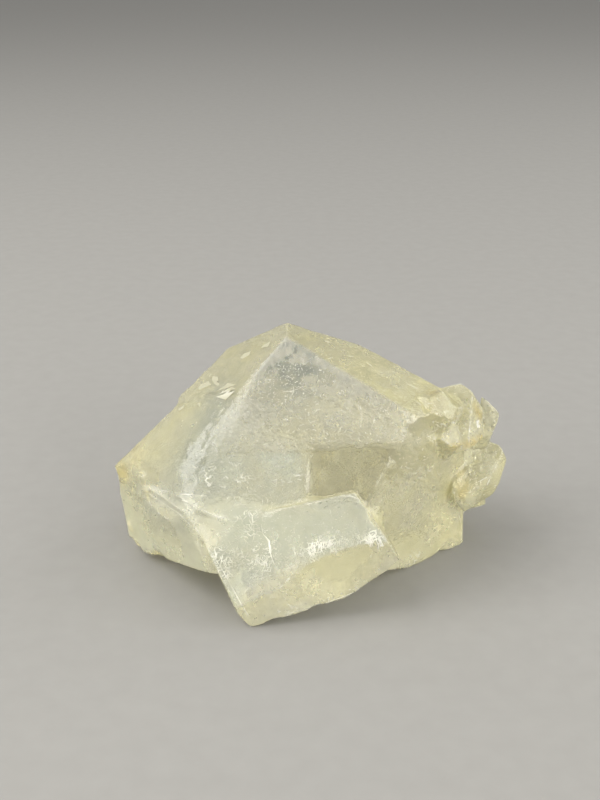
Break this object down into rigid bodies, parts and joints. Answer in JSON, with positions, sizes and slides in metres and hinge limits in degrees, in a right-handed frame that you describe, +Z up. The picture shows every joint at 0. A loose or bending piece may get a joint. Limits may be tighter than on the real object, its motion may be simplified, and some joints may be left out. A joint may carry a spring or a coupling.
{
  "type": "aquamarine crystal",
  "caption": "Pale, clear crystal specimen with a pointed, bevelled main face, a broken fin on its lower front and small side crystals; stands on its broken base.",
  "frame": {"origin": "middle of the bounding box, on the plane of the broken base that the crystal stands on", "axes": "+Z up to the point, +X along the long side towards the small crystals, -Y out of the broad front face"},
  "size_m": [0.062, 0.0412, 0.0401],
  "materials": {
    "beryl": "clear pale yellow-green natural crystal, glassy with frosted and broken faces and white wisps inside"
  },
  "bodies": {
    "root": {"crystal": "beryl"}
  },
  "joints": []
}
